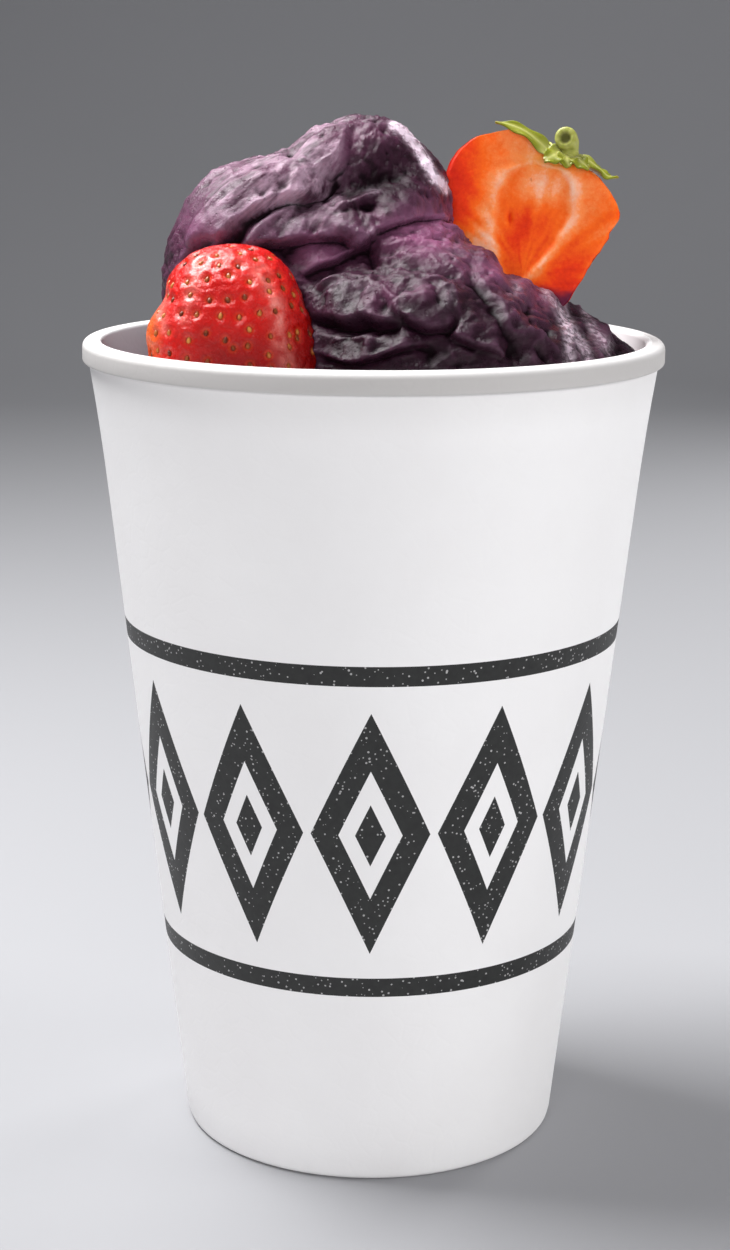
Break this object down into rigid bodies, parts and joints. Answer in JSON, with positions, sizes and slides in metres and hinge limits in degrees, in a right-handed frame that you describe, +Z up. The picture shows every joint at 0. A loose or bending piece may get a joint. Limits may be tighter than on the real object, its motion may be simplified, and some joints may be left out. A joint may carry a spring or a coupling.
{
  "type": "acai cup",
  "caption": "Tall foam cup filled and heaped with dark purple acai sorbet, with a whole strawberry and a strawberry half pressed into the heap.",
  "frame": {"origin": "centre of the cup's foot, on the surface that it stands on", "axes": "+Z up; -Y is the front, where the whole strawberry and the cut face of the half show; +X to the right of that view"},
  "size_m": [0.094, 0.094, 0.1682],
  "materials": {
    "foam": "white expanded foam, matt, with a charcoal band print of plain shapes",
    "sorbet": "dark plum, wet and glossy, folded and partly icy",
    "berry_skin": "bright red, shiny, with yellow seeds in pits",
    "berry_flesh": "cut face, orange red with a pale core, moist",
    "leaf": "yellow green, thin and slightly waxy"
  },
  "bodies": {
    "root": {"foam_cup": "foam", "acai_sorbet": "sorbet", "whole_strawberry": "berry_skin", "strawberry_half": "berry_flesh", "strawberry_crown": "leaf"}
  },
  "joints": []
}
